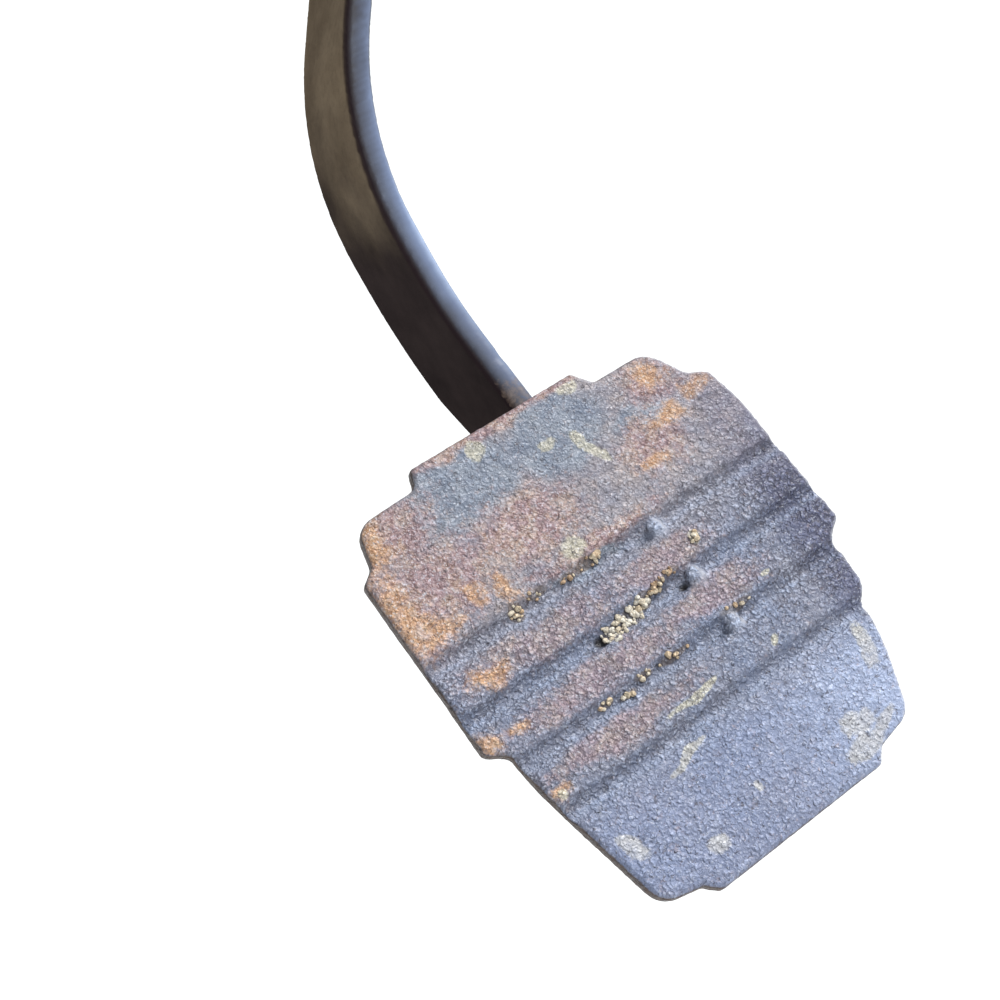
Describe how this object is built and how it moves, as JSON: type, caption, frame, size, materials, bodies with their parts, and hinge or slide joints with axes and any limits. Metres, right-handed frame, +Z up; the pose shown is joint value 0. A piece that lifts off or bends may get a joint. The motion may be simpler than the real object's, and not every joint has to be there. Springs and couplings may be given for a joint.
{
  "type": "vehicle foot pedal",
  "caption": "Hanging clutch-type foot pedal: notched steel pad on a curved flat-bar arm, pivoting in a bulkhead bracket with a return spring, rest stop and pushrod fork.",
  "frame": {"origin": "middle of the four fixing bolts, on the face that lies against the bulkhead", "axes": "+X along the pivot axis to the driver's right, +Y forward through the bulkhead, +Z up"},
  "size_m": [0.1253, 0.1968, 0.3299],
  "materials": {
    "worn_pad": "pitted bare pressed steel with rust",
    "weld": "rippled bead under worn paint",
    "arm_paint": "worn satin black paint",
    "bracket_paint": "satin black paint",
    "zinc": "dull zinc plating",
    "bright_steel": "turned steel",
    "spring_steel": "oiled drawn wire",
    "nylon": "natural nylon",
    "rubber": "moulded rubber"
  },
  "bodies": {
    "bracket": {"bracket_channel": "bracket_paint", "bulkhead_plate": "bracket_paint", "bracket_welds": "weld", "stop_plate": "bracket_paint", "stop_screw": "zinc", "stop_nut": "zinc", "stop_bumper": "rubber", "pivot_bolt": "zinc", "pivot_nut": "zinc", "pivot_washers": "zinc", "pivot_sleeve": "bright_steel", "return_spring": "spring_steel"},
    "pedal": {"pad_plate": "worn_pad", "plug_welds": "worn_pad", "pad_welds": "weld", "pedal_arm": "arm_paint", "pivot_tube": "arm_paint", "tube_welds": "weld", "bush_left": "nylon", "bush_right": "nylon", "pin_bush": "nylon"},
    "pushrod_link": {"clevis": "zinc", "clevis_pin": "bright_steel", "clevis_clip": "spring_steel", "clevis_washers": "zinc", "pushrod": "bright_steel", "pushrod_nut": "zinc"}
  },
  "joints": [
    {"name": "pedal_swing", "type": "hinge", "parent": "bracket", "child": "pedal", "pos_m": [0, -0.072, 0.032], "axis": [1, 0, 0], "range_deg": [0, 28], "stiffness_Nm_per_rad": 2, "springref_deg": -57.3, "deforming": ["return_spring"]},
    {"name": "clevis_pivot", "type": "hinge", "parent": "pedal", "child": "pushrod_link", "pos_m": [0.008, -0.08242, -0.02709], "axis": [1, 0, 0], "range_deg": [-28, 0]}
  ],
  "couplings": [
    {"joint": "clevis_pivot", "follows": "pedal_swing", "ratio": -1}
  ]
}
